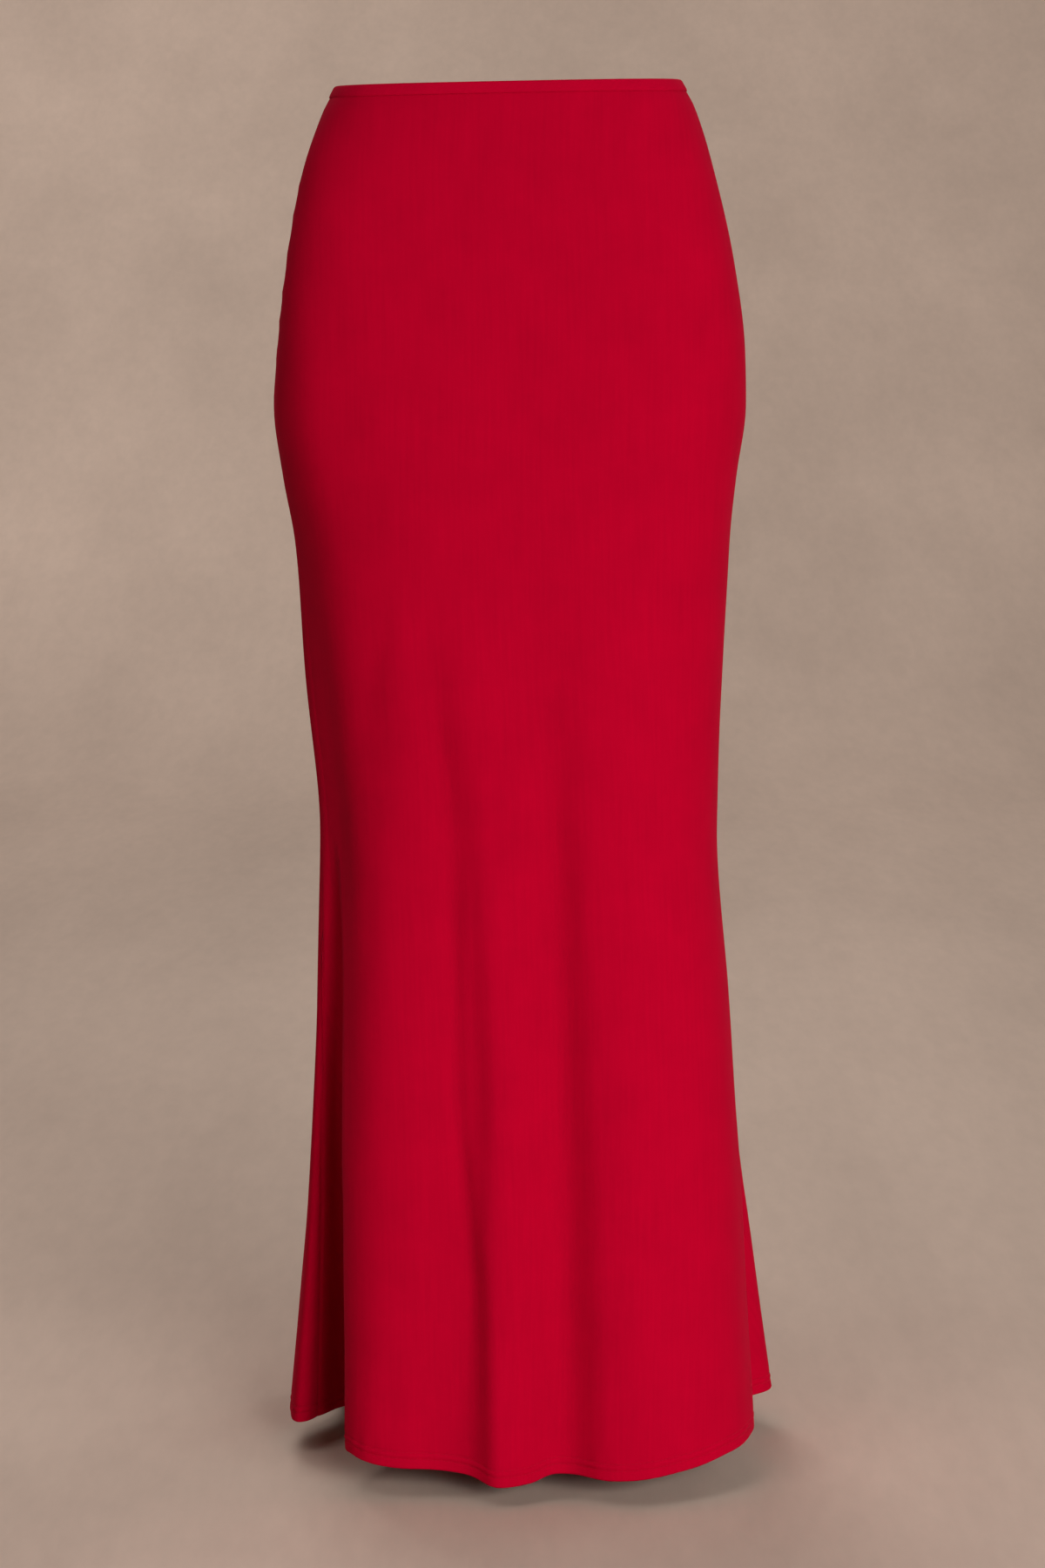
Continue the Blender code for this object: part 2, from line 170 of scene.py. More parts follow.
def hermite(knots, values, slopes, at):
    """Values of the cubic curve that runs through the knots with these slopes."""
    place = np.clip(np.searchsorted(knots, at, side="right") - 1, 0, len(knots) - 2)
    width = knots[place + 1] - knots[place]
    s = (at - knots[place]) / width
    start = (1.0 + 2.0 * s) * (1.0 - s) ** 2 * values[place]
    end = s**2 * (3.0 - 2.0 * s) * values[place + 1]
    leave = s * (1.0 - s) ** 2 * slopes[place]
    arrive = s**2 * (s - 1.0) * slopes[place + 1]
    return start + end + width * (leave + arrive)


def steady_slopes(knots, values):
    """Slopes that never overshoot: level at each high and low, gentle between unlike runs."""
    chords = np.diff(values) / np.diff(knots)
    slopes = np.concatenate([chords[:1], np.zeros(len(values) - 2), chords[-1:]])
    rising = chords[:-1] * chords[1:] > 0.0
    means = 2.0 * chords[:-1] * chords[1:] / np.where(rising, chords[:-1] + chords[1:], 1.0)
    slopes[1:-1] = np.where(rising, means, 0.0)
    return slopes


def steady(knots, values, at):
    """The steady curve through a short row of values."""
    knots = np.asarray(knots, float)
    values = np.asarray(values, float)
    return hermite(knots, values, steady_slopes(knots, values), np.clip(at, knots[0], knots[-1]))


def line_run(line):
    """The length along a line, at each of its points."""
    return np.concatenate([[0.0], np.cumsum(np.linalg.norm(np.diff(line, axis=0), axis=1))])


def bell(distance, width):
    """1 at the middle, and little beyond its width on both sides."""
    return np.exp(-((distance / width) ** 2))


def fade(value, start, end):
    """From 0 at start to 1 at end, smoothly."""
    s = np.clip((value - start) / (end - start), 0.0, 1.0)
    return s * s * (3.0 - 2.0 * s)


def profile(column, drops):
    """One column of the sections table, as a smooth line down the skirt."""
    return steady([row.drop for row in SECTIONS], [getattr(row, column) for row in SECTIONS], drops)


def plain_ring(drop, shares, first_bearing):
    """Points of the unfolded ring at one drop, at these shares of the panel that starts at a bearing."""
    left, right, front, back, squareness = (profile(name, drop) for name in Section._fields[2:])
    bearing = first_bearing + np.linspace(0.0, math.pi, BEARING_STEPS + 1)
    across = -np.cos(bearing)
    forward = np.sin(bearing)
    breadth = 0.5 * (left + right)
    depth = np.where(forward > 0.0, front, back)
    power = np.where(forward > 0.0, squareness, BACK_SQUARENESS)
    radius = (np.abs(across / breadth) ** power + np.abs(forward / depth) ** power) ** (-1.0 / power)
    x = 0.5 * (right - left) + radius * across
    y = -radius * forward
    lengths = np.concatenate([[0.0], np.cumsum(np.hypot(np.diff(x), np.diff(y)))])
    wanted = shares * lengths[-1]
    return np.stack([np.interp(wanted, lengths, x), np.interp(wanted, lengths, y)], axis=1)


def flat_over_thigh(drop, shares):
    """The share of its distance from the middle line that the front loses over the left thigh."""
    way_down = min(max((drop - FLAT_TOP) / (FLAT_BOTTOM - FLAT_TOP), 0.0), 1.0)
    across = np.clip(shares / FLAT_SEAM_REACH, 0.0, 1.0) * bell(shares - FLAT_SHARE, FLAT_REACH)
    return FLAT_DEPTH * math.sin(math.pi * way_down) * across


def hem_line():
    """The hem from above as one closed smooth line: points, lengths along it, each fold's place."""
    folds = FRONT_FOLDS + BACK_FOLDS
    stands = np.array([(row.across, -row.forward) for row in folds])
    steps = np.linalg.norm(np.roll(stands, -1, axis=0) - stands, axis=1)
    before = np.roll(steps, 1)[:, None]
    after = steps[:, None]
    chord_in = (stands - np.roll(stands, 1, axis=0)) / before
    chord_out = (np.roll(stands, -1, axis=0) - stands) / after
    slopes = chord_in * after + chord_out * before
    slopes *= FOLD_ROUNDNESS / np.linalg.norm(slopes, axis=1, keepdims=True)
    knots = np.concatenate([[0.0], np.cumsum(steps)])
    closed_stands = np.vstack([stands, stands[:1]])
    closed_slopes = np.vstack([slopes, slopes[:1]])
    stretches = [np.linspace(a, b, HEM_STEPS_PER_FOLD, endpoint=False) for a, b in zip(knots, knots[1:])]
    at = np.append(np.concatenate(stretches), knots[-1])
    line = [hermite(knots, closed_stands[:, i], closed_slopes[:, i], at) for i in range(2)]
    line = np.stack(line, axis=1)
    lengths = line_run(line)
    return line, lengths, lengths[::HEM_STEPS_PER_FOLD]


HEM_LINE, HEM_LENGTHS, FOLD_PLACES = hem_line()


def hem_points(along):
    """The hem's points from above, at lengths along it."""
    return np.stack([np.interp(along, HEM_LENGTHS, HEM_LINE[:, i]) for i in range(2)], axis=1)


def spread_columns(places, shares, columns):
    """Places along the hem for a panel's columns, closer where the hem turns and at the seams."""
    inside = (HEM_LENGTHS >= places[0]) & (HEM_LENGTHS <= places[-1])
    along = HEM_LENGTHS[inside]
    along = np.unique(np.concatenate([along, np.linspace(along[0], along[-1], HEM_SCAN_STEPS)]))
    heading = np.unwrap(np.arctan2(*np.diff(hem_points(along), axis=0).T))
    turning = np.concatenate([[0.0, 0.0], np.cumsum(np.abs(np.diff(heading)))])
    length = along - along[0]
    plain = steady(places, shares, along)
    near_start = 1.0 - np.exp(-length / SEAM_REACH)
    near_end = np.exp(-(length[-1] - length) / SEAM_REACH)
    measure = PLAIN_PART * plain + LENGTH_PART * length / length[-1]
    measure += TURNING_PART * turning / turning[-1] + SEAM_PART * 0.5 * (near_start + near_end)
    return np.interp(np.linspace(0.0, measure[-1], columns + 1), measure, along)


class ClothPanel:
    """One panel's columns: the share of the plain ring, how the fold grows and where it flares to."""

    def __init__(self, folds, next_seam, places, first_bearing, columns):
        self.first_bearing = first_bearing
        shares = [row.share for row in folds] + [1.0]
        along = spread_columns(places, shares, columns)
        self.shares = steady(places, shares, along)
        ends = folds + (next_seam,)
        self.starts, self.growths, self.rises = (
            steady(places, [getattr(row, name) for row in ends], along)
            for name in ("start", "growth", "rise")
        )
        self.flare = hem_points(along) - plain_ring(SKIRT_LENGTH, self.shares, first_bearing)

    def ring(self, drop):
        """The panel's points at one drop, seam to seam, with its folds."""
        grown = np.clip((drop - self.starts) / (SKIRT_LENGTH - self.starts), 0.0, 1.0) ** self.growths
        plain = plain_ring(drop, self.shares, self.first_bearing)
        if self.first_bearing == SEAM_TURN:
            plain *= 1.0 - flat_over_thigh(drop, self.shares)[:, None]
        flat = plain + grown[:, None] * self.flare
        tilt = WAIST_TILT * max(0.0, 1.0 - drop / TILT_FADE)
        lift = self.rises * max(0.0, (drop - RISE_START) / (SKIRT_LENGTH - RISE_START)) ** 2
        return np.column_stack([flat, tilt * flat[:, 0] + lift - drop])


def skirt_panels():
    """The front and the back panel, which meet at the side seams."""
    split = len(FRONT_FOLDS)
    front_places, back_places = FOLD_PLACES[: split + 1], FOLD_PLACES[split:]
    front = ClothPanel(FRONT_FOLDS, BACK_FOLDS[0], front_places, SEAM_TURN, FRONT_COLUMNS)
    back = ClothPanel(BACK_FOLDS, FRONT_FOLDS[0], back_places, SEAM_TURN + math.pi, BACK_COLUMNS)
    return front, back


def row_drops(sizes):
    """Drops of the cloth's rows, close at the sewn hem, with a row on each line of stitches."""
    turn = SKIRT_LENGTH - sizes.hem_turn
    top = BAND_HEIGHT + np.array(TOP_ROWS)
    upper = np.linspace(UPPER_START, KNEE_DROP, UPPER_ROWS)
    flare = np.linspace(KNEE_DROP, turn - FLARE_END_OVER_TURN, FLARE_ROWS + 1)[1:]
    hem = np.linspace(turn - HEM_START_OVER_TURN, SKIRT_LENGTH - 0.5 * sizes.hem_thickness, HEM_ROWS)
    for height in (sizes.upper_row, sizes.lower_row):
        hem[np.argmin(np.abs(hem - (SKIRT_LENGTH - height)))] = SKIRT_LENGTH - height
    return np.concatenate([top, upper, flare, hem])


def surface_normals(rings):
    """Unit normals of a closed grid of rings, out of the skirt."""
    along = np.roll(rings, -1, axis=1) - np.roll(rings, 1, axis=1)
    down = np.gradient(rings, axis=0)
    normals = -np.cross(along, down)
    return normals / np.linalg.norm(normals, axis=2, keepdims=True)


# ---------------------------------------------------------------- the finer creases

# Soft creases in the cloth. Points are (across, drop). A trough is sunk by its depth, a ridge stands out
# by it, and a step is sunk on its left and stands out on its right, so that its face looks to the left.
Crease = namedtuple("Crease", "name form width depth points")
FRONT_CREASES = (
    Crease("ridge_face_top", "step", 0.0095, 0.0006, ((-0.048, 0.45), (-0.041, 0.52), (-0.037, 0.59))),
    Crease(
        "ridge_face", "step", 0.0080, 0.0012,
        ((-0.037, 0.59), (-0.0355, 0.68), (-0.0340, 0.75), (-0.029, 0.81)),
    ),
    Crease("ridge_face_foot", "step", 0.0095, 0.0009, ((-0.029, 0.81), (-0.019, 0.89), (-0.0145, 1.02))),
    Crease("middle_ridge_crest", "ridge", 0.010, 0.0012, ((0.006, 0.46), (0.007, 0.70), (0.009, 1.02))),
    Crease(
        "left_hip_edge", "ridge", 0.021, 0.0032,
        ((-0.143, 0.02), (-0.150, 0.08), (-0.156, 0.13), (-0.154, 0.18), (-0.149, 0.232), (-0.143, 0.29)),
    ),
    Crease(
        "right_valley", "trough", 0.013, 0.0006,
        ((0.038, 0.55), (0.041, 0.66), (0.046, 0.80), (0.050, 1.02)),
    ),
    Crease("right_ridge_crest", "ridge", 0.014, 0.0010, ((0.088, 0.45), (0.094, 0.70), (0.100, 1.02))),
    Crease("right_outer_valley", "trough", 0.012, 0.0006, ((0.127, 0.66), (0.133, 0.80), (0.138, 0.95))),
    Crease("left_thigh_line", "trough", 0.010, 0.0005, ((-0.098, 0.40), (-0.104, 0.56), (-0.103, 0.72))),
    Crease("left_hip_ridge", "ridge", 0.016, 0.0007, ((-0.122, 0.085), (-0.127, 0.145), (-0.124, 0.200))),
    Crease("right_hip_ridge", "ridge", 0.014, 0.0006, ((0.138, 0.235), (0.143, 0.290), (0.139, 0.345))),
    Crease("waist_ridge", "ridge", 0.018, 0.0005, ((-0.108, 0.012), (-0.107, 0.036), (-0.110, 0.070))),
)
BACK_CREASES = (
    Crease("seat_line", "trough", 0.016, 0.0012, ((0.004, 0.10), (0.002, 0.19), (0.001, 0.29))),
    Crease("under_seat_left", "trough", 0.022, 0.0008, ((-0.066, 0.25), (-0.060, 0.31), (-0.052, 0.38))),
    Crease("under_seat_right", "trough", 0.022, 0.0008, ((0.070, 0.24), (0.064, 0.30), (0.054, 0.37))),
    Crease(
        "middle_back_face", "step", 0.009, -0.0012,
        ((0.030, 0.55), (0.026, 0.72), (0.030, 0.88), (0.036, 1.02)),
    ),
    Crease(
        "left_back_face", "step", 0.010, 0.0010,
        ((-0.062, 0.57), (-0.064, 0.74), (-0.060, 0.90), (-0.062, 1.02)),
    ),
    Crease("outer_back_valley", "trough", 0.012, 0.0009, ((0.118, 0.62), (0.122, 0.80), (0.128, 1.00))),
)
CREASE_FADE_IN = 0.070
CREASE_FADE_OUT = 0.040

# How squarely the cloth faces the front or the back where none of a crease is there, and where all of it is.
CREASE_TURNED_AWAY = 0.05
CREASE_FACING = 0.35

# Long low swells that keep the cloth from lying like a drawn curve: a wave's lengths and its height.
Swell = namedtuple("Swell", "around down height turn")
SWELLS = (
    Swell(0.210, 0.340, 0.00042, 0.4),
    Swell(0.130, 0.520, 0.00030, 2.1),
    Swell(0.074, 0.230, 0.00014, 4.4),
    Swell(0.047, 0.370, 0.00010, 5.3),
)
SWELL_BEND = 1.3
SWELL_FULL = 0.090

# The side seams draw the cloth in and pucker it over the hips. SEAM_FULL and PUCKER_TOP to PUCKER_BOTTOM
# are drops from the waist.
SEAM_SINK = 0.0007
SEAM_SINK_REACH = 0.0018
SEAM_FULL = 0.020
PUCKER_LENGTH = 0.026
PUCKER_STRAY = 0.8
PUCKER_STRAY_LENGTH = 0.083
PUCKER_REACH = 0.009
PUCKER_DEPTH = 0.00045
PUCKER_RIGHT_PART = 0.4
PUCKER_TOP = 0.050
PUCKER_FULL = 0.080
PUCKER_WANING = 0.200
PUCKER_BOTTOM = 0.250

# The band holds the cloth in just under itself.
BAND_SINK = 0.00030
BAND_SINK_REACH = 0.0090

# A wave whose pace strays: its pace, how far it strays, and the pace of the straying.
Wave = namedtuple("Wave", "pace stray stray_pace")

# The turned hem is sunk at both rows of stitches, a little full between them, and gently rippled. The
# ripples are counted round the skirt and are stronger in some patches than in others.
ROW_SINK = 0.00040
ROW_SINK_REACH = 0.0009
HEM_FULLNESS = 0.00028
HEM_FULLNESS_REACH = 0.0016
HEM_RIPPLE = 0.00018
HEM_RIPPLE_REACH = 0.0085
FINE_RIPPLE = Wave(131.0, 2.0, 9.0)
BROAD_RIPPLE = Wave(87.0, 1.5, 5.0)
BROAD_PART = 0.7
PATCH_COUNT = 7.0
PATCH_TURN = 0.9
PATCH_MEAN = 0.6
PATCH_SWING = 0.4

# The cloth grows to the hem's thickness over a short step at the turn.
HEM_STEP_ABOVE = 0.0008
HEM_STEP_BELOW = 0.0004

# The hem's thread. A stitch rises and dives by widths of the thread, and no two lie quite alike.
STITCH_SEAM_GAP = 0.0009
STITCH_STEPS = 6
STITCH_INSET = 0.05
STITCH_RISE = 0.34
STITCH_DIVE = 1.15
STITCH_LOOSENESS = 0.00003
LOOSENESS_WAVE = Wave(2.3, 1.1, 0.37)
STITCH_WANDER = 0.00012
WANDER_WAVE = Wave(0.9, 2.0, 0.11)
JOINING_RISE = 0.30
THREAD_SIDES = 6


def straying(at, wave):
    """A straying wave, from -1 to 1."""
    return np.sin(wave.pace * at + wave.stray * np.sin(wave.stray_pace * at))


def fade_about(value, middle, length):
    """From 0 to 1 over a length, halfway at its middle."""
    return fade(value, middle - 0.5 * length, middle + 0.5 * length)


def crease_form(form, distance, width):
    """How deep a crease of depth 1 is at a distance to the right of its line."""
    if form == "step":
        return -math.sqrt(2.0 * math.e) * distance / width * bell(distance, width)
    return bell(distance, width) if form == "trough" else -bell(distance, width)


def crease_depth(rings, normals, drops):
    """How far the creases push the cloth in, at each point."""
    depth = np.zeros(rings.shape[:2])
    for creases, towards in ((FRONT_CREASES, -normals[..., 1]), (BACK_CREASES, normals[..., 1])):
        facing = fade(towards, CREASE_TURNED_AWAY, CREASE_FACING)
        for crease in creases:
            across, at = np.array(crease.points).T
            line = steady(at, across, drops)[:, None]
            strength = fade_about(drops, at[0], CREASE_FADE_IN)
            if at[-1] < SKIRT_LENGTH:
                strength = strength * (1.0 - fade_about(drops, at[-1], CREASE_FADE_OUT))
            form = crease_form(crease.form, rings[..., 0] - line, crease.width)
            depth += crease.depth * form * strength[:, None] * facing
    return depth


def ring_lengths(rings):
    """Each point's place along its ring from the left side seam, and the ring's whole length."""
    steps = np.linalg.norm(np.roll(rings, -1, axis=1) - rings, axis=2)
    ends = np.cumsum(steps, axis=1)
    return ends - steps, ends[:, -1:]


def swell_depth(places, whole, drops):
    """The low swells, which meet themselves at the left seam and fade towards the band."""
    depth = np.zeros(places.shape)
    for row in SWELLS:
        waves = np.round(whole.mean() / row.around)
        around = 2.0 * math.pi * waves * places / whole
        down = 2.0 * math.pi * drops[:, None] / row.down
        depth += row.height * np.sin(around + row.turn + SWELL_BEND * np.sin(down)) * np.cos(down + row.turn)
    return depth * fade(drops, BAND_HEIGHT, SWELL_FULL)[:, None]


def seam_depth(places, whole, drops):
    """Both side seams: a narrow furrow, and puckers beside it over the hips."""
    left = np.minimum(places, whole - places)
    right = np.abs(places - places[:, FRONT_COLUMNS][:, None])
    furrow = SEAM_SINK * (bell(left, SEAM_SINK_REACH) + bell(right, SEAM_SINK_REACH))
    stray = PUCKER_STRAY * np.sin(2.0 * math.pi * drops / PUCKER_STRAY_LENGTH)
    wave = np.sin(2.0 * math.pi * drops / PUCKER_LENGTH + stray)
    where = fade(drops, PUCKER_TOP, PUCKER_FULL) * (1.0 - fade(drops, PUCKER_WANING, PUCKER_BOTTOM))
    near = bell(left, PUCKER_REACH) + PUCKER_RIGHT_PART * bell(right, PUCKER_REACH)
    pucker = PUCKER_DEPTH * (wave * where)[:, None] * near
    return furrow * fade(drops, BAND_HEIGHT, SEAM_FULL)[:, None] + pucker


def hem_depth(places, whole, drops, sizes):
    """The turned hem's relief: its sunk rows, its fullness and its ripples."""
    height = (SKIRT_LENGTH - drops)[:, None]
    rows = bell(height - sizes.upper_row, ROW_SINK_REACH) + bell(height - sizes.lower_row, ROW_SINK_REACH)
    full = HEM_FULLNESS * bell(height - 0.5 * (sizes.upper_row + sizes.lower_row), HEM_FULLNESS_REACH)
    turns = 2.0 * math.pi * places / whole
    ripple = straying(turns, FINE_RIPPLE) + BROAD_PART * straying(turns, BROAD_RIPPLE)
    strength = PATCH_MEAN + PATCH_SWING * np.sin(PATCH_COUNT * turns + PATCH_TURN)
    rippled = HEM_RIPPLE * ripple * strength * bell(height - sizes.upper_row, HEM_RIPPLE_REACH)
    return ROW_SINK * rows - full + rippled


def band_depth(drops):
    """The cloth is held in just under the band."""
    return BAND_SINK * (1.0 - fade(drops, BAND_HEIGHT, BAND_HEIGHT + BAND_SINK_REACH))


def relief(rings, drops, sizes):
    """All the finer forms together, as each point's move in or out."""
    normals = surface_normals(rings)
    places, whole = ring_lengths(rings)
    depth = crease_depth(rings, normals, drops) + swell_depth(places, whole, drops)
    depth += seam_depth(places, whole, drops) + hem_depth(places, whole, drops, sizes)
    depth += band_depth(drops)[:, None]
    return -depth[..., None] * normals


# ---------------------------------------------------------------- the dressed cloth

Cloth = namedtuple("Cloth", "outer edge inner normals drops uv")


def row_thicknesses(drops, sizes):
    """The cloth's thickness in each row, with a step where the turned hem begins."""
    turn = SKIRT_LENGTH - sizes.hem_turn
    turned = fade(drops, turn - HEM_STEP_ABOVE, turn + HEM_STEP_BELOW)
    return sizes.cloth_thickness + (sizes.hem_thickness - sizes.cloth_thickness) * turned


def hem_edge(outer, inner, thickness):
    """The rounded edge from the outer side's last row to the inner side's."""
    middle = 0.5 * (outer + inner)
    edge = []
    for step in range(1, EDGE_STEPS + 1):
        turn = math.pi * step / (EDGE_STEPS + 1)
        sideways = (outer - middle) * math.cos(turn)
        edge.append(middle + sideways + np.array([0.0, 0.0, -0.5 * thickness * math.sin(turn)]))
    return np.array(edge)


def weave_places(outer, drops):
    """Each point's place on the flat cloth: across from the panel's middle column, and up."""
    steps = np.linalg.norm(np.diff(outer, axis=1), axis=2)
    across = np.concatenate([np.zeros((len(drops), 1)), np.cumsum(steps, axis=1)], axis=1)
    columns = across.shape[1]
    across -= across[:, (columns - 1) // 2][:, None]
    return np.stack([across, np.repeat(-drops[:, None], columns, axis=1)], axis=2)


def dressed_cloth(sizes):
    """Both panels' cloth, as the outer side, the rounded hem edge and the inner side."""
    front, back = skirt_panels()
    drops = row_drops(sizes)
    rings = np.stack([np.vstack([front.ring(d)[:-1], back.ring(d)[:-1]]) for d in drops])
    rings = rings + relief(rings, drops, sizes)
    normals = surface_normals(rings)
    inner = rings - row_thicknesses(drops, sizes)[:, None, None] * normals
    edge = hem_edge(rings[-1], inner[-1], sizes.hem_thickness)
    cloths = []
    for first, columns in ((0, FRONT_COLUMNS), (FRONT_COLUMNS, BACK_COLUMNS)):
        picked = (first + np.arange(columns + 1)) % rings.shape[1]
        outer = rings[:, picked]
        uv = weave_places(outer, drops)
        cloths.append(Cloth(outer, edge[:, picked], inner[:, picked], normals[:, picked], drops, uv))
    return cloths


# ---------------------------------------------------------------- meshes


def link_object(name, mesh, material):
    """A smooth object in the scene with its one material."""
    mesh.materials.append(material)
    mesh.shade_smooth()
    obj = bpy.data.objects.new(name, mesh)
    bpy.context.scene.collection.objects.link(obj)
    return obj


def mesh_from(name, points, faces, uv=None):
    """A mesh from arrays, with its weave coordinates in metres where they are given."""
    mesh = bpy.data.meshes.new(name)
    mesh.from_pydata(points.tolist(), [], [tuple(int(n) for n in face) for face in faces])
    if uv is not None:
        layer = mesh.uv_layers.new(name="weave")
        corners = np.empty(len(mesh.loops), np.int64)
        mesh.loops.foreach_get("vertex_index", corners)
        layer.data.foreach_set("uv", uv[corners].astype(np.float32).ravel())
    mesh.validate()
    return mesh


def shell_mesh(name, cloth):
    """The cloth as one closed shell: down the outer side, round the edge and up the inner side."""
    loops = np.concatenate([cloth.outer, cloth.edge, cloth.inner[::-1]])
    count, columns = loops.shape[:2]
    rows = len(cloth.outer)
    uv_edge = np.repeat(cloth.uv[-1:], len(cloth.edge), axis=0)
    uv = np.concatenate([cloth.uv, uv_edge, cloth.uv[::-1]]).reshape(-1, 2)
    number = np.arange(count * columns).reshape(count, columns)
    below = np.roll(number, -1, axis=0)
    quads = [number[:, :-1], below[:, :-1], below[:, 1:], number[:, 1:]]
    faces = np.stack(quads, axis=2).reshape(-1, 4).tolist()
    for column, forward in ((0, False), (columns - 1, True)):
        side = number[:, column]
        for i in range(rows - 1):
            face = (side[i], side[i + 1], side[count - 2 - i], side[count - 1 - i])
            faces.append(face if forward else face[::-1])
        tip = tuple(side[rows - 1 : count - rows + 1])
        faces.append(tip if forward else tip[::-1])
    return mesh_from(name, loops.reshape(-1, 3), faces, uv)


def band_outline(sizes):
    """The band in section, from its lower outer edge over the fold and back inside: (proud, drop)."""
    into = BAND_PROUD - BAND_THICKNESS
    radius = 0.5 * BAND_THICKNESS
    middle = 0.5 * (BAND_PROUD + into)
    outline = [(BAND_PROUD + proud, share * BAND_HEIGHT) for proud, share in BAND_FACE]
    for step in range(BAND_FOLD_STEPS + 1):
        turn = math.pi * step / BAND_FOLD_STEPS
        outline.append((middle + radius * math.cos(turn), radius - radius * math.sin(turn)))
    outline += [(into, share * BAND_HEIGHT) for share in (0.5, 0.75, 1.0)]
    outline += [(into + sizes.cloth_thickness, share * BAND_HEIGHT) for share in (1.0, 0.5)]
    small = radius - sizes.cloth_thickness
    for step in range(BAND_LINING_STEPS + 1):
        turn = math.pi * (1.0 - step / BAND_LINING_STEPS)
        outline.append((middle + small * math.cos(turn), radius - small * math.sin(turn)))
    outline += [(BAND_PROUD - sizes.cloth_thickness, share * BAND_HEIGHT) for share in (0.5, 1.0)]
    return np.array(outline)


def band_mesh(sizes):
    """The waistband: one strip of cloth folded over at the top, open below where it is sewn on."""
    shares = np.linspace(0.0, 1.0, BAND_COLUMNS // 2 + 1)[:-1]
    outline = band_outline(sizes)
    loops = []
    uv = []
    for (proud, drop), run in zip(outline, line_run(outline)):
        ring = np.vstack([plain_ring(drop, shares, bearing) for bearing in (SEAM_TURN, SEAM_TURN + math.pi)])
        along = np.roll(ring, -1, axis=0) - np.roll(ring, 1, axis=0)
        away = np.stack([along[:, 1], -along[:, 0]], axis=1) / np.linalg.norm(along, axis=1, keepdims=True)
        moved = ring + proud * away
        loops.append(np.column_stack([moved, WAIST_TILT * moved[:, 0] - drop]))
        uv.append(np.column_stack([line_run(ring), np.full(len(ring), -run)]))
    points = np.array(loops)
    count, columns = points.shape[:2]
    number = np.arange(count * columns).reshape(count, columns)
    below = np.roll(number, -1, axis=0)
    beside = np.roll(number, -1, axis=1)
    opposite = np.roll(below, -1, axis=1)
    faces = np.stack([number, beside, opposite, below], axis=2).reshape(-1, 4).tolist()
    return mesh_from("waistband_cloth", points.reshape(-1, 3), faces, np.array(uv).reshape(-1, 2))


# ---------------------------------------------------------------- the sewn hem


def cloth_line(cloth, values, height):
    """A panel's values along a line at a height over the hem's edge."""
    at = SKIRT_LENGTH - height
    row = int(np.searchsorted(cloth.drops, at))
    share = (at - cloth.drops[row - 1]) / (cloth.drops[row] - cloth.drops[row - 1])
    return values[row - 1] + share * (values[row] - values[row - 1])


def at_places(run, values, places):
    """A line's values at places along its run."""
    return np.stack([np.interp(places, run, values[:, k]) for k in range(3)], axis=-1)


def stitch_row(cloth, height, sizes):
    """One row of stitches: a short arc of thread each, which dives into the cloth at both ends."""
    line = cloth_line(cloth, cloth.outer, height)
    normals = cloth_line(cloth, cloth.normals, height)
    run = line_run(line)
    length = run[-1] - 2.0 * STITCH_SEAM_GAP
    count = round(length / sizes.stitch_length)
    number = np.arange(count)[:, None]
    step = np.linspace(0.0, 1.0, STITCH_STEPS)[None, :]
    from_middle = 2.0 * step - 1.0
    places = STITCH_SEAM_GAP + (number + STITCH_INSET + (1.0 - 2.0 * STITCH_INSET) * step) * length / count
    lift = sizes.thread_width * (STITCH_RISE - STITCH_DIVE * from_middle**4)
    lift = lift + STITCH_LOOSENESS * straying(number, LOOSENESS_WAVE) * (1.0 - from_middle**2)
    out = at_places(run, normals, places)
    paths = at_places(run, line, places) + lift[..., None] * out
    paths[..., 2] += STITCH_WANDER * straying(number, WANDER_WAVE)
    return paths, out


def joining_thread(cloth, sizes):
    """The thread on the inner side that goes to and fro between both rows."""
    upper = cloth_line(cloth, cloth.inner, sizes.upper_row)
    lower = cloth_line(cloth, cloth.inner, sizes.lower_row)
    into = -cloth_line(cloth, cloth.normals, 0.5 * (sizes.upper_row + sizes.lower_row))
    run = line_run(upper)
    length = run[-1] - 2.0 * STITCH_SEAM_GAP
    quarters = np.arange(4 * round(length / sizes.stitch_length) + 1)
    places = STITCH_SEAM_GAP + quarters * length / quarters[-1]
    down = (0.5 - 0.5 * np.cos(0.5 * math.pi * quarters))[:, None]
    inward = at_places(run, into, places)
    path = (1.0 - down) * at_places(run, upper, places) + down * at_places(run, lower, places)
    return (path + JOINING_RISE * sizes.thread_width * inward)[None], inward[None]


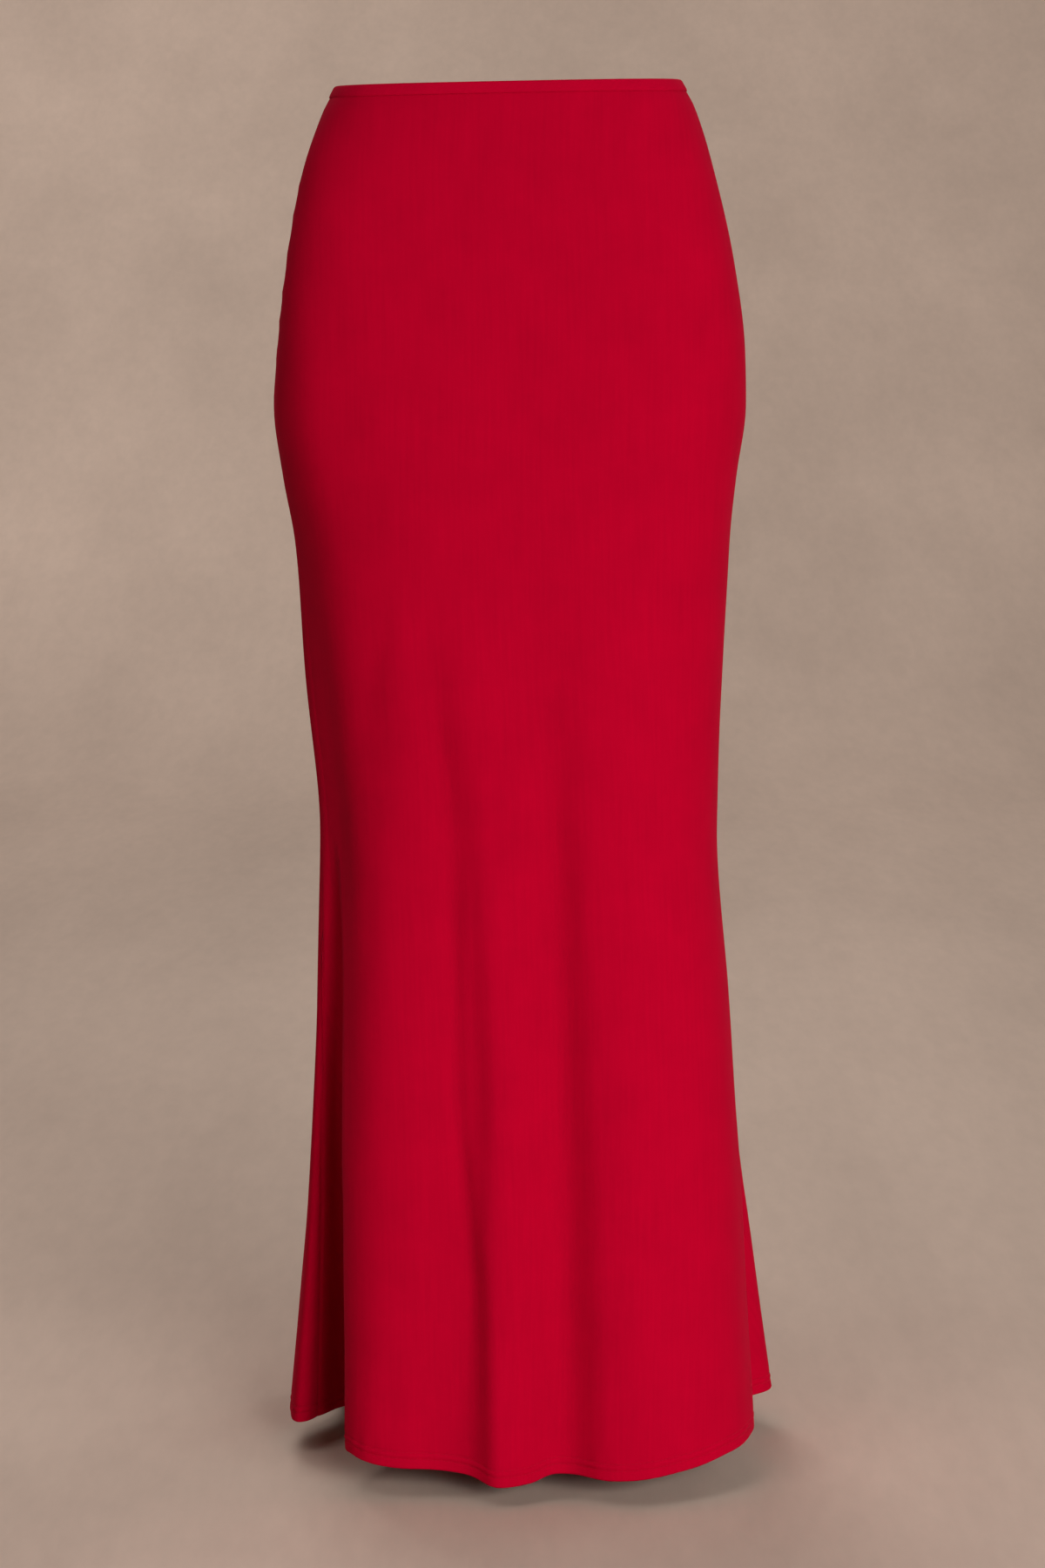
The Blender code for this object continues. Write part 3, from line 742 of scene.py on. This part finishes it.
def hem_thread_mesh(name, cloth, sizes):
    """All of one panel's hem thread as small tubes."""
    groups = [stitch_row(cloth, sizes.upper_row, sizes), stitch_row(cloth, sizes.lower_row, sizes)]
    groups.append(joining_thread(cloth, sizes))
    turns = 2.0 * math.pi * np.arange(THREAD_SIDES) / THREAD_SIDES
    points = []
    faces = []
    first = 0
    for paths, normals in groups:
        tangent = np.gradient(paths, axis=1)
        across = np.cross(tangent, normals)
        across /= np.linalg.norm(across, axis=2, keepdims=True)
        up = np.cross(across, tangent)
        up /= np.linalg.norm(up, axis=2, keepdims=True)
        spread = across[:, :, None] * np.cos(turns)[:, None] + up[:, :, None] * np.sin(turns)[:, None]
        points.append((paths[:, :, None] + 0.5 * sizes.thread_width * spread).reshape(-1, 3))
        number = first + np.arange(points[-1].shape[0]).reshape(*paths.shape[:2], THREAD_SIDES)
        beside = np.roll(number, -1, axis=2)
        quads = [number[:, :-1], beside[:, :-1], beside[:, 1:], number[:, 1:]]
        faces += np.stack(quads, axis=3).reshape(-1, 4).tolist()
        faces += number[:, 0, ::-1].tolist()
        faces += number[:, -1].tolist()
        first += points[-1].shape[0]
    return mesh_from(name, np.concatenate(points), faces)


# ---------------------------------------------------------------- materials

# Noise, and what it does to a colour: its values from low to high make it from dark to light.
Noise = namedtuple("Noise", "scale detail roughness")
Shades = namedtuple("Shades", "low high dark light")
JERSEY_STREAKS = Noise(1.0, 3.0, 0.6)
STREAKS_DRAWN_OUT = (420.0, 14.0, 1.0)
JERSEY_PATCHES = Noise(26.0, 4.0, 0.55)
JERSEY_SHADES = Shades(0.6, 1.4, 0.925, 1.075)
THREAD_FLUFF = Noise(900.0, 2.0, 0.5)
THREAD_SHADES = Shades(0.0, 1.0, 0.85, 1.1)
PAPER_CLOUDS = (
    (Noise(1.3, 6.0, 0.62), Shades(0.35, 0.65, 0.92, 1.08)),
    (Noise(6.0, 6.0, 0.62), Shades(0.35, 0.65, 0.97, 1.03)),
    (Noise(55.0, 6.0, 0.62), Shades(0.35, 0.65, 0.975, 1.025)),
)
CLOUDS_DRAWN_OUT = (1.0, 0.22, 1.0)

# The knit: how far its loops lean, how much they count beside the ribs, and the relief's full height.
LOOP_LEAN = 1.6
LOOP_PART = 0.5
KNIT_HEIGHT = 0.0001

SHEEN_ROUGHNESS = 0.35
SHEEN_TINT = (1.0, 0.15, 0.25, 1.0)
THREAD_ROUGHNESS = 0.6
THREAD_GLOSS = 0.08
PAPER_ROUGHNESS = 0.9
PAPER_GLOSS = 0.1


def new_material(name, roughness, gloss):
    """A plain material with its node tree and its shader."""
    material = bpy.data.materials.new(name)
    material.use_nodes = True
    shader = material.node_tree.nodes["Principled BSDF"]
    shader.inputs["Roughness"].default_value = roughness
    shader.inputs["Specular IOR Level"].default_value = gloss
    return material, material.node_tree, shader


def add_node(tree, kind, links=None, inputs=None, **settings):
    """A node with its own settings by attribute name, and with sockets and values for its inputs."""
    node = tree.nodes.new(kind)
    for key, value in settings.items():
        setattr(node, key, value)
    for key, value in (inputs or {}).items():
        node.inputs[key].default_value = value
    for key, socket in (links or {}).items():
        tree.links.new(socket, node.inputs[key])
    return node


def math_node(tree, operation, *operands):
    """One step of arithmetic; each operand is a socket or a number."""
    links = {place: operand for place, operand in enumerate(operands) if not isinstance(operand, float)}
    inputs = {place: operand for place, operand in enumerate(operands) if isinstance(operand, float)}
    return add_node(tree, "ShaderNodeMath", links, inputs, operation=operation).outputs[0]


def drawn_out(tree, place, factors):
    """Places whose pattern is drawn out, each way by its own factor."""
    return add_node(tree, "ShaderNodeVectorMath", {0: place}, {1: factors}, operation="MULTIPLY").outputs[0]


def noise_at(tree, place, noise):
    """Noise at a place or, without one, over the whole object."""
    links = {} if place is None else {"Vector": place}
    inputs = {"Scale": noise.scale, "Detail": noise.detail, "Roughness": noise.roughness}
    return add_node(tree, "ShaderNodeTexNoise", links, inputs).outputs[0]


def shaded(tree, value, shades):
    """A value brought between dark and light."""
    inputs = {"From Min": shades.low, "From Max": shades.high, "To Min": shades.dark, "To Max": shades.light}
    return add_node(tree, "ShaderNodeMapRange", {"Value": value}, inputs).outputs[0]


def colour_shader(tree, shader, colour, shade):
    """Gives the shader its colour, darker and lighter by the shade."""
    tint = add_node(tree, "ShaderNodeVectorMath", {"Scale": shade}, {0: colour}, operation="SCALE")
    tree.links.new(tint.outputs[0], shader.inputs["Base Color"])


def knit_relief(tree, place, look):
    """The knit's relief: ribs of leaning loops, as a bump."""
    split = add_node(tree, "ShaderNodeSeparateXYZ", {0: place})
    wale = math_node(tree, "MULTIPLY", split.outputs[0], 2.0 * math.pi / look.wale_pitch)
    rib = math_node(tree, "ABSOLUTE", math_node(tree, "SINE", wale))
    lean = math_node(tree, "MULTIPLY", rib, LOOP_LEAN)
    course = math_node(tree, "MULTIPLY", split.outputs[1], 2.0 * math.pi / look.course_pitch)
    loop = math_node(tree, "SINE", math_node(tree, "ADD", course, lean))
    knit = math_node(tree, "ADD", math_node(tree, "MULTIPLY", loop, LOOP_PART), rib)
    inputs = {"Strength": look.knit_depth, "Distance": KNIT_HEIGHT}
    return add_node(tree, "ShaderNodeBump", {"Height": knit}, inputs).outputs[0]


def jersey_material(name, look, colour):
    """Fine red jersey: knit ribs along the weave coordinates, a soft nap and slight mottling."""
    material, tree, shader = new_material(name, look.roughness, look.gloss)
    place = add_node(tree, "ShaderNodeUVMap", uv_map="weave").outputs[0]
    tree.links.new(knit_relief(tree, place, look), shader.inputs["Normal"])
    streaks = noise_at(tree, drawn_out(tree, place, STREAKS_DRAWN_OUT), JERSEY_STREAKS)
    both = math_node(tree, "ADD", streaks, noise_at(tree, place, JERSEY_PATCHES))
    colour_shader(tree, shader, colour, shaded(tree, both, JERSEY_SHADES))
    shader.inputs["Sheen Weight"].default_value = look.nap
    shader.inputs["Sheen Roughness"].default_value = SHEEN_ROUGHNESS
    shader.inputs["Sheen Tint"].default_value = SHEEN_TINT
    material.diffuse_color = (*colour, 1.0)
    return material


def thread_material(name, colour):
    """Sewing thread in the jersey's red made a little darker, painted shade for its sunk rows, and a little
    uneven.
    """
    material, tree, shader = new_material(name, THREAD_ROUGHNESS, THREAD_GLOSS)
    fluff = noise_at(tree, None, THREAD_FLUFF)
    colour_shader(tree, shader, colour, shaded(tree, fluff, THREAD_SHADES))
    return material


def paper_material(name, colour):
    """The studio's matt paper with large, small and fine clouds."""
    material, tree, shader = new_material(name, PAPER_ROUGHNESS, PAPER_GLOSS)
    where = add_node(tree, "ShaderNodeTexCoord").outputs["Object"]
    place = drawn_out(tree, where, CLOUDS_DRAWN_OUT)
    large, small, fine = (shaded(tree, noise_at(tree, place, row[0]), row[1]) for row in PAPER_CLOUDS)
    clouds = math_node(tree, "MULTIPLY", math_node(tree, "MULTIPLY", large, small), fine)
    colour_shader(tree, shader, colour, clouds)
    return material


# ---------------------------------------------------------------- properties


class ClothSizes(PropertyGroup):
    """The cloth's own sizes and those of the sewn hem"""

    cloth_thickness: FloatProperty(
        name="Cloth thickness", description="Thickness of the jersey", default=0.0010, unit="LENGTH"
    )
    hem_thickness: FloatProperty(
        name="Hem thickness", description="Thickness of the turned hem", default=0.0022, unit="LENGTH"
    )
    hem_turn: FloatProperty(
        name="Hem turn", description="How far the hem is turned up inside", default=0.015, unit="LENGTH"
    )
    upper_row: FloatProperty(
        name="Upper row", description="Height of its stitches over the edge", default=0.0123, unit="LENGTH"
    )
    lower_row: FloatProperty(
        name="Lower row", description="Height of its stitches over the edge", default=0.0074, unit="LENGTH"
    )
    stitch_length: FloatProperty(
        name="Stitch length", description="Length of one hem stitch", default=0.0029, unit="LENGTH"
    )
    thread_width: FloatProperty(
        name="Thread width", description="Width of the sewing thread", default=0.00036, unit="LENGTH"
    )


class JerseyLook(PropertyGroup):
    """The jersey's and the thread's colours, and the knit"""

    jersey_colour: FloatVectorProperty(
        name="Jersey", description="Colour of the panels", default=(0.470, 0.0006, 0.0205), subtype="COLOR"
    )
    # The band's colour is the jersey's red a little lighter: a painted highlight for the light its rounded
    # fold catches.
    band_colour_with_painted_highlight: FloatVectorProperty(
        name="Band", description="Colour of the waistband", default=(0.490, 0.0008, 0.0225), subtype="COLOR"
    )
    # The thread's colour is the jersey's red a little darker: painted shade for the sunk rows of stitches.
    thread_colour_with_painted_shade: FloatVectorProperty(
        name="Thread", description="Colour of the hem's thread", default=(0.46, 0.001, 0.021), subtype="COLOR"
    )
    roughness: FloatProperty(
        name="Roughness", description="Roughness of the cloth", default=0.9, subtype="FACTOR"
    )
    gloss: FloatProperty(
        name="Gloss", description="How much plain gloss the cloth has", default=0.004, subtype="FACTOR"
    )
    nap: FloatProperty(
        name="Nap", description="Strength of the soft glow at grazing angles", default=0.10, subtype="FACTOR"
    )
    wale_pitch: FloatProperty(
        name="Wale pitch", description="Width of one knit rib", default=0.00064, unit="LENGTH"
    )
    course_pitch: FloatProperty(
        name="Course pitch", description="Height of one row of knit", default=0.00048, unit="LENGTH"
    )
    knit_depth: FloatProperty(
        name="Knit relief", description="Strength of the knit's relief", default=0.25, subtype="FACTOR"
    )


class StudioLook(PropertyGroup):
    """The studio's paper and its even light"""

    floor_colour: FloatVectorProperty(
        name="Floor colour", description="Colour of the paper", default=(0.62, 0.475, 0.385), subtype="COLOR"
    )
    floor_drop: FloatProperty(
        name="Floor height", description="Height of the floor, from the waist", default=-1.035, unit="LENGTH"
    )
    room: FloatProperty(
        name="Room light", description="Strength of the light from all round", default=0.02, subtype="FACTOR"
    )


# ---------------------------------------------------------------- the pieces

# Soft boxes round the skirt, one over the floor and one that lights the paper behind it.
SKIRT_MIDDLE = (0.0, 0.0, -0.5)
FLARE_MIDDLE = (0.0, 0.0, -0.75)
Light = namedtuple("Light", "name place aim width height power spread")
LIGHTS = (
    Light("key", (1.55, -4.75, 0.55), FLARE_MIDDLE, 2.0, 1.2, 19.2, 60.0),
    Light("right_front", (3.40, -4.00, 0.55), FLARE_MIDDLE, 2.0, 1.2, 7.0, 60.0),
    Light("right_side", (4.20, 0.38, 0.30), SKIRT_MIDDLE, 2.0, 2.0, 20.0, 180.0),
    Light("right_back", (3.00, 2.60, 1.40), SKIRT_MIDDLE, 2.0, 2.0, 23.0, 180.0),
    Light("back", (-1.00, 3.90, 2.80), SKIRT_MIDDLE, 2.0, 2.0, 15.0, 80.0),
    Light("high_left", (-1.60, -1.90, 3.40), SKIRT_MIDDLE, 2.0, 2.0, 27.0, 180.0),
    Light("over_floor", (-0.50, 0.30, 3.50), (-0.50, 0.10, -1.00), 3.0, 3.0, 16.0, 180.0),
    Light("backdrop", (-0.90, 3.60, 3.50), (-0.90, 7.40, 0.70), 5.0, 1.5, 117.0, 165.0),
)
ROOM_TINT = (1.0, 0.97, 0.93, 1.0)
CAMERA_PLACE = (0.010, -3.600, -0.080)
CAMERA_PITCH = math.radians(7.051)
CAMERA_LENS = 109.95
CAMERA_SENSOR = 36.0

# The paper: a round floor in rings, the curve at its edge and the wall above it.
FLOOR_RADIUS = 4.0
FLOOR_RINGS = (0.001, 1.0, 2.5, FLOOR_RADIUS)
SWEEP_CURVE = 4.6
WALL_HEIGHT = 7.5
SWEEP_STEPS = 96
CURVE_STEPS = 24

# Each panel's greatest breadth, its length from the band to the hem and its area, laid flat.
Cut = namedtuple("Cut", "side breadth length area")
CUTS = (Cut("front", 0.700, 1.018, 0.505), Cut("back", 0.846, 1.035, 0.503))


def build_panel(context, index):
    """One panel's cloth with its folds, and the thread of its hem."""
    sizes = context.scene.skirt_cloth
    look = context.scene.skirt_jersey
    cut = CUTS[index]
    cloth = dressed_cloth(sizes)[index]
    name = f"{cut.side}_panel_cloth"
    jersey = jersey_material(f"{cut.side}_jersey", look, look.jersey_colour)
    panel = link_object(name, shell_mesh(name, cloth), jersey)
    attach(panel, "root")
    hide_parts(f"{cut.side}_panel")
    name = f"{cut.side}_hem_thread"
    # The thread takes the darker red, painted shade for its sunk rows.
    yarn = thread_material(f"{cut.side}_thread", look.thread_colour_with_painted_shade)
    thread = link_object(name, hem_thread_mesh(name, cloth, sizes), yarn)
    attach(thread, "root")


class SKIRT_OT_front(Operator):
    """Builds the front panel's cloth with its folds and its hem's thread"""

    bl_idname = "skirt.front"
    bl_label = "Front panel"

    def execute(self, context):
        build_panel(context, 0)
        return {"FINISHED"}


class SKIRT_OT_back(Operator):
    """Builds the back panel's cloth with its folds and its hem's thread"""

    bl_idname = "skirt.back"
    bl_label = "Back panel"

    def execute(self, context):
        build_panel(context, 1)
        return {"FINISHED"}


class SKIRT_OT_waistband(Operator):
    """Builds the narrow folded waistband"""

    bl_idname = "skirt.waistband"
    bl_label = "Waistband"

    def execute(self, context):
        look = context.scene.skirt_jersey
        # The band's jersey takes the lighter red, a painted highlight.
        jersey = jersey_material("waistband_jersey", look, look.band_colour_with_painted_highlight)
        band = link_object("waistband_cloth", band_mesh(context.scene.skirt_cloth), jersey)
        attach(band, "root")
        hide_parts("waistband")
        return {"FINISHED"}


class SKIRT_OT_studio(Operator):
    """Builds the floor with its sweep, the soft lights and the camera"""

    bl_idname = "skirt.studio"
    bl_label = "Studio"

    def execute(self, context):
        look = context.scene.skirt_studio
        build_sweep(look)
        for row in LIGHTS:
            add_light(row)
        add_room_light(look.room)
        add_camera()
        context.scene.view_settings.view_transform = "Standard"
        return {"FINISHED"}


def build_sweep(look):
    """A round floor that curves up into a plain wall all the way round."""
    outline = [(radius, 0.0) for radius in FLOOR_RINGS]
    for step in range(1, CURVE_STEPS + 1):
        turn = 0.5 * math.pi * step / CURVE_STEPS
        outline.append((FLOOR_RADIUS + SWEEP_CURVE * math.sin(turn), SWEEP_CURVE * (1.0 - math.cos(turn))))
    outline.append((FLOOR_RADIUS + SWEEP_CURVE, WALL_HEIGHT))
    points = []
    for radius, height in outline:
        for step in range(SWEEP_STEPS):
            turn = 2.0 * math.pi * step / SWEEP_STEPS
            points.append((radius * math.cos(turn), radius * math.sin(turn), look.floor_drop + height))
    number = np.arange(len(points)).reshape(len(outline), SWEEP_STEPS)
    beside = np.roll(number, -1, axis=1)
    quads = [number[:-1], beside[:-1], beside[1:], number[1:]]
    faces = np.stack(quads, axis=2).reshape(-1, 4).tolist()
    faces.append(tuple(number[0][::-1]))
    mesh = mesh_from("studio_sweep", np.array(points), faces)
    link_object("studio_sweep", mesh, paper_material("studio_paper", look.floor_colour))


def add_light(row):
    """A soft box at its place, turned to what it lights."""
    data = bpy.data.lights.new(row.name, "AREA")
    data.shape = "RECTANGLE"
    data.size = row.width
    data.size_y = row.height
    data.energy = row.power
    data.spread = math.radians(row.spread)
    light = bpy.data.objects.new(row.name, data)
    light.location = row.place
    light.rotation_euler = (Vector(row.aim) - Vector(row.place)).to_track_quat("-Z", "Y").to_euler()
    light.visible_camera = False
    bpy.context.scene.collection.objects.link(light)


def add_room_light(strength):
    """The even light from all round."""
    world = bpy.data.worlds.new("studio_room")
    world.use_nodes = True
    sky = world.node_tree.nodes["Background"]
    sky.inputs["Color"].default_value = ROOM_TINT
    sky.inputs["Strength"].default_value = strength
    bpy.context.scene.world = world


def add_camera():
    """The camera, level across and pitched down at the skirt."""
    data = bpy.data.cameras.new("camera")
    data.lens = CAMERA_LENS
    data.sensor_width = CAMERA_SENSOR
    camera = bpy.data.objects.new("camera", data)
    camera.location = CAMERA_PLACE
    camera.rotation_euler = (0.5 * math.pi - CAMERA_PITCH, 0.0, 0.0)
    bpy.context.scene.collection.objects.link(camera)
    bpy.context.scene.camera = camera


class SKIRT_PT_parts(Panel):
    """Lists the skirt's pieces"""

    bl_label = "Fishtail skirt"
    bl_space_type = "VIEW_3D"
    bl_region_type = "UI"
    bl_category = "Skirt"

    def draw(self, context):
        for operator in OPERATORS:
            self.layout.operator(operator.bl_idname)
        for group in (context.scene.skirt_cloth, context.scene.skirt_jersey, context.scene.skirt_studio):
            box = self.layout.box()
            for name in group.__annotations__:
                box.prop(group, name)


OPERATORS = (SKIRT_OT_studio, SKIRT_OT_front, SKIRT_OT_back, SKIRT_OT_waistband)
GROUPS = (("skirt_cloth", ClothSizes), ("skirt_jersey", JerseyLook), ("skirt_studio", StudioLook))


def register():
    for name, group in GROUPS:
        bpy.utils.register_class(group)
        setattr(bpy.types.Scene, name, PointerProperty(type=group))
    for operator in OPERATORS:
        bpy.utils.register_class(operator)
    bpy.utils.register_class(SKIRT_PT_parts)


def unregister():
    bpy.utils.unregister_class(SKIRT_PT_parts)
    for operator in reversed(OPERATORS):
        bpy.utils.unregister_class(operator)
    for name, group in reversed(GROUPS):
        delattr(bpy.types.Scene, name)
        bpy.utils.unregister_class(group)


def main():
    register()
    bpy.ops.skirt.studio()
    bpy.ops.skirt.front()
    bpy.ops.skirt.back()
    bpy.ops.skirt.waistband()


if __name__ == "__main__":
    main()
